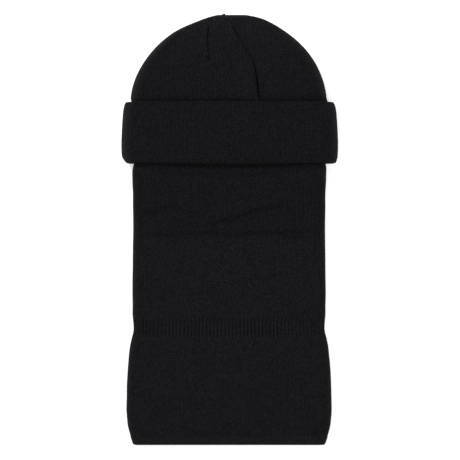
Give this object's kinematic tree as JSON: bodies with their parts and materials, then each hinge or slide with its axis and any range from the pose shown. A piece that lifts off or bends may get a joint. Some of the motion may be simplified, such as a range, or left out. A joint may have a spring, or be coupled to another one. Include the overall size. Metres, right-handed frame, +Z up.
{
  "type": "knitted balaclava",
  "caption": "Knitted balaclava lying flat: a cuffed beanie with darted crown and a long face and neck tube with rib band and flared bib.",
  "frame": {"origin": "on the surface the balaclava lies on, under the middle of its length and width", "axes": "+X across it to the wearer's left, +Y from the hem to the crown, +Z up out of its front"},
  "size_m": [0.232, 0.4614, 0.0262],
  "materials": {
    "fine_rib_knit": "matte fine rib knit",
    "jersey_knit": "matte plain jersey knit",
    "wide_rib_knit": "matte wide rib knit",
    "welt_knit": "matte rolled knit edge",
    "seam_yarn": "matte linking yarn",
    "woven_label": "satin woven tape, blank"
  },
  "bodies": {
    "hat": {"hat_body": "fine_rib_knit", "crown_front_gore": "fine_rib_knit", "crown_back_gore": "fine_rib_knit", "crown_left_gore": "fine_rib_knit", "crown_right_gore": "fine_rib_knit", "front_left_dart_seam": "seam_yarn", "front_right_dart_seam": "seam_yarn", "back_left_dart_seam": "seam_yarn", "back_right_dart_seam": "seam_yarn", "crown_closing_tack": "seam_yarn", "nape_panel": "fine_rib_knit", "mask_left_seam": "fine_rib_knit", "mask_right_seam": "fine_rib_knit", "mask_front_panel": "fine_rib_knit", "mask_attach_seam": "seam_yarn", "left_bartack": "seam_yarn", "right_bartack": "seam_yarn", "care_label": "woven_label"},
    "cuff": {"cuff_fold_roll": "fine_rib_knit", "cuff_turned_layer": "fine_rib_knit", "cuff_welt": "welt_knit"},
    "mask_edge": {"eye_opening_edge": "welt_knit"},
    "fold": {"crease_strip": "fine_rib_knit"},
    "lower_tube": {"neck_front_panel": "jersey_knit", "neck_back_panel": "jersey_knit", "neck_left_seam": "jersey_knit", "neck_right_seam": "jersey_knit", "rib_neck_band": "wide_rib_knit", "bib_front_panel": "jersey_knit", "bib_back_panel": "jersey_knit", "bib_left_seam": "jersey_knit", "bib_right_seam": "jersey_knit", "bib_hem": "welt_knit", "hem_stitches": "seam_yarn"}
  },
  "joints": [
    {"name": "cuff_slide", "type": "slide", "parent": "hat", "child": "cuff", "axis": [0, -1, 0], "range_m": [0, 0.045]},
    {"name": "mask_lower", "type": "slide", "parent": "hat", "child": "mask_edge", "axis": [0, -1, 0], "range_m": [0, 0.045], "deforming": ["mask_front_panel"]},
    {"name": "fold_upper", "type": "hinge", "parent": "hat", "child": "fold", "pos_m": [0, -0.00295, 0.0152], "axis": [-1, 0, 0], "range_deg": [0, 85]},
    {"name": "fold_lower", "type": "hinge", "parent": "fold", "child": "lower_tube", "pos_m": [0, -0.01695, 0.0152], "axis": [-1, 0, 0], "range_deg": [0, 85]}
  ],
  "couplings": [
    {"joint": "fold_lower", "follows": "fold_upper", "ratio": 1}
  ]
}
